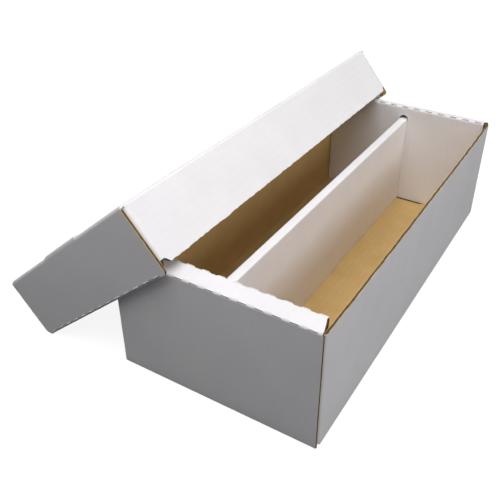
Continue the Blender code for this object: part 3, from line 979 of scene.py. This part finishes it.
def make_lid_end(end, side):
    """One rolled end: inner panel with its tab, rolled edge, outer panel and the top's crease."""
    panel_half = LID_PANEL_HALF[end]
    edge_half = LID_PANEL_HALF["front"] - LID_CORNER
    shoulder = LID_DEPTH - LAYER
    fold_top = LID_DEPTH - FOLD
    folds = {
        "inner_fold": Fold(RIGHT_ANGLE, SOFT_SHARE, GROOVE),
        "outer_fold": Fold(RIGHT_ANGLE, SOFT_SHARE, LID_GROOVE, LIP_HEIGHT),
    }
    stations = follow(
        (LID_END_WALL, shoulder),
        270,
        [
            ("inner_panel", "run", shoulder - FOLD, RUN[:-1]),
            ("inner_fold", "bend", RIGHT_ANGLE, PERFORATED),
            ("rolled_edge", "run", LID_END_WALL - 2 * FOLD, [0.5]),
            ("outer_fold", "bend", RIGHT_ANGLE, PERFORATED),
            ("outer_panel", "run", LID_DEPTH - 2 * FOLD, RUN[1:-1]),
            ("top_fold", "bend", RIGHT_ANGLE, BEND),
            ("top", "run", CREASE - FOLD, [1]),
        ],
    )
    tab_rows = [stations[0]]
    for rise in (BOARD / 2, BOARD):
        spot = stations[0].spot + Vector((0, rise))
        tab_rows.insert(0, Station(spot, stations[0].along - rise, "tab", 0))

    fixed = [0.0, LID_TAB_HALF, 0.0268, 0.0278, 0.0300, 0.0312, edge_half]
    columns = slit_columns(mirrored(fixed), edge_half - 0.0004)

    def place(x, station):
        part, share = station.part, station.share
        where, height = x, 0.0
        a, b = station.spot
        if part == "inner_panel":
            flare = smooth(LID_STEP - 0.002, LID_STEP + 0.0039, b)
            flare *= max(abs(x) - INNER_FLARE_START, 0) / (edge_half - INNER_FLARE_START)
            where = math.copysign(abs(x) + (LID_INNER_HALF - edge_half) * flare, x)
        if part in folds:
            height = fold_height(x, share, folds[part])
        if part == "outer_panel":
            a -= lid_belly(x, share)
        if part in ("top_fold", "top"):
            b += tab_lift(x) * (smooth(0.0, 0.5, share) if part == "top_fold" else 1.0)
        flat = (where, side * (END_SHIFT - station.along))
        return Vector((where, side * (LID_HALF_LENGTH - a), b)), height, flat

    sheet = Sheet((0, -side, 0))
    sheet.patch(place, columns, stations, slit_faces(stations, folds))
    sheet.patch(place, [x for x in columns if abs(x) <= LID_TAB_HALF + SLACK], tab_rows)

    top_of_fold = next(s for s in stations if s.part == "outer_fold" and s.share == 1)
    upper = stations[stations.index(top_of_fold) :]
    corner_rows = [Station((0.0, z), 0.0, "corner", 0) for z in (0.0, 0.0008, 0.0016, 0.0024)]
    for hand, radius in ((-1, LID_CORNER), (1, SHARP_CORNER)):
        radius = min(radius, panel_half - edge_half)

        def corner(x, station):
            """The outer panel beyond the rolled edge, with its round lower corner."""
            past = max(abs(x) - panel_half + radius, 0.0)
            low = radius - max(radius**2 - past**2, 0.0) ** 0.5
            a, b = station.spot
            if station.part == "outer_panel":
                a -= lid_belly(x, station.share)
            if b <= fold_top:
                b = squeezed(b, 0.0, low, fold_top)
            flat_y = side * (END_SHIFT - (top_of_fold.along + b))
            above = b - fold_top
            if above > 0:
                spread = smooth(edge_half, panel_half, abs(x)) * smooth(0.0, 0.002, above)
                wide = abs(x) + (LID_TOP_REACH - panel_half) * spread
                beyond = max(wide - (LID_HALF_WIDTH - FOLD), 0.0)
                b -= (FOLD - (FOLD**2 - beyond**2) ** 0.5) * smooth(0.0, 0.003, above)
                x = math.copysign(wide, x)
            return Vector((x, side * (LID_HALF_LENGTH - a), b)), 0.0, (x, flat_y)

        angles = (0, 12, 24, 36, 48, 60, 70, 80, 90)
        sizes = [panel_half - radius + radius * math.sin(math.radians(a)) for a in angles]
        if panel_half - radius > edge_half + 0.001:
            sizes = [edge_half] + sizes
        sheet.patch(corner, [hand * size for size in sizes], corner_rows + upper)

    piece = sheet.build(f"lid_{end}_rolled_end", lambda co: co.z > fold_top - 1e-4)
    piece.data.transform(LID_MATRIX)
    nodes = [f"lid_{end}_{panel}" for panel in ("outer_panel", "rolled_edge", "inner_panel")]
    dress(piece, "lid", nodes)


# Floor, light and camera

FLOOR_HALF = 6.0
FLOOR_DROP = 0.0004
COVERED_MARGIN = 0.004
FLOOR_PLAIN = (0.05, 0.05, 0.05)
FLOOR_SEEN = (0.27, 0.27, 0.27)
FLOOR_GLOW = 0.90
WORLD_LIGHT = (0.155, 0.151, 0.158)
WORLD_SEEN = (1.0, 1.0, 1.0)

# The camera, in degrees, metres and pixels of the photograph's frame
AZIMUTH, ELEVATION, ROLL = 29.835, 33.174, 0.911
TARGET = Vector((-0.053621, -0.030184, 0.05075))
DISTANCE = 0.713134
IMAGE = 500.0
FOCAL_LENGTH = 655.86
IMAGE_CENTRE = (272.56, 235.36)
SENSOR = 36.0


def make_floor():
    """A floor that is white to the camera, keeps the shadow, and lights the box only weakly.

    Under the tray it neither glows nor takes the seen colour, and shows its dark plain colour:
    painted shade where the camera would see it through gaps in the board.
    """
    mesh = bpy.data.meshes.new("floor")
    corners = [(-1, -1), (1, -1), (1, 1), (-1, 1)]
    points = [(FLOOR_HALF * x, FLOOR_HALF * y, -FLOOR_DROP) for x, y in corners]
    mesh.from_pydata(points, [], [(0, 1, 2, 3)])
    floor = bpy.data.objects.new("floor", mesh)
    bpy.context.scene.collection.objects.link(floor)

    material, tree, shader = paper("pale_floor", specular=0.1)
    shader.inputs["Roughness"].default_value = 0.9
    shader.inputs["Emission Color"].default_value = (1, 1, 1, 1)
    split = add(tree, "ShaderNodeSeparateXYZ")
    feed(tree, split.inputs[0], add(tree, "ShaderNodeTexCoord").outputs["Object"])
    beyond = []
    for axis, half in (("X", HALF_WIDTH), ("Y", HALF_LENGTH)):
        size = math_node(tree, "ABSOLUTE", split.outputs[axis])
        beyond.append(math_node(tree, "GREATER_THAN", size, half - COVERED_MARGIN))
    path = add(tree, "ShaderNodeLightPath")
    # Painted shade: under the tray the camera sees the dark plain colour and no glow.
    uncovered = math_node(tree, "MAXIMUM", *beyond)
    seen = math_node(tree, "MULTIPLY", path.outputs["Is Camera Ray"], uncovered)
    feed(tree, shader.inputs["Base Color"], mix(tree, seen, FLOOR_PLAIN, FLOOR_SEEN))
    glow = math_node(tree, "MULTIPLY", seen, FLOOR_GLOW)
    feed(tree, shader.inputs["Emission Strength"], glow)
    mesh.materials.append(material)


def make_world():
    """A dim even light that shows as white where the world itself is seen."""
    world = bpy.data.worlds.new("studio")
    world.use_nodes = True
    bpy.context.scene.world = world
    tree = world.node_tree
    path = add(tree, "ShaderNodeLightPath")
    seen = math_node(tree, "MAXIMUM", path.outputs["Is Camera Ray"], path.outputs["Is Glossy Ray"])
    seen = math_node(tree, "MAXIMUM", seen, path.outputs["Is Transmission Ray"])
    background = tree.nodes["Background"]
    feed(tree, background.inputs["Color"], mix(tree, seen, WORLD_LIGHT, WORLD_SEEN))
    background.inputs["Strength"].default_value = 1.0


def area_lamp(name, place, size, energy):
    """A square lamp that looks at the middle of the tray."""
    lamp = bpy.data.lights.new(name, "AREA")
    lamp.shape = "SQUARE"
    lamp.size = size
    lamp.energy = energy
    item = bpy.data.objects.new(name, lamp)
    bpy.context.scene.collection.objects.link(item)
    item.location = place
    way = Vector((0.0, 0.0, 0.05)) - Vector(place)
    item.rotation_euler = way.to_track_quat("-Z", "Y").to_euler()


def make_lamps():
    """A broad lamp over the box, a weak one before it, and a small one far off on the right."""
    area_lamp("key", (0.10, -0.31, 1.35), 1.32, 14.7)
    area_lamp("front", (0.20, -1.00, 1.27), 1.00, 1.9)
    area_lamp("right", (1.70, 0.10, 1.20), 0.70, 12.8)


def make_camera():
    azimuth, elevation, roll = map(math.radians, (AZIMUTH, ELEVATION, ROLL))
    level = Vector((math.sin(azimuth), -math.cos(azimuth), 0)) * math.cos(elevation)
    back = level + Vector((0, 0, math.sin(elevation)))
    right = Vector((0, 0, 1)).cross(back).normalized()
    up = back.cross(right)
    rolled_right = right * math.cos(roll) + up * math.sin(roll)
    rolled_up = up * math.cos(roll) - right * math.sin(roll)
    lens = bpy.data.cameras.new("camera")
    lens.sensor_fit = "HORIZONTAL"
    lens.sensor_width = SENSOR
    lens.lens = FOCAL_LENGTH * SENSOR / IMAGE
    lens.shift_x = -(IMAGE_CENTRE[0] - IMAGE / 2) / IMAGE
    lens.shift_y = (IMAGE_CENTRE[1] - IMAGE / 2) / IMAGE
    lens.clip_start = 0.02
    camera = bpy.data.objects.new("camera", lens)
    bpy.context.scene.collection.objects.link(camera)
    turned = Matrix((rolled_right, rolled_up, back)).transposed().to_4x4()
    camera.matrix_world = Matrix.Translation(TARGET + back * DISTANCE) @ turned
    bpy.context.scene.camera = camera


make_tray_shell()
make_tray_end("front", -1, FRONT_RISE)
make_tray_end("back", 1, BACK_RISE)
make_divider()
make_lid_shell()
make_lid_end("front", -1)
make_lid_end("back", 1)
make_floor()
make_world()
make_lamps()
make_camera()
bpy.context.scene.view_settings.view_transform = "Standard"
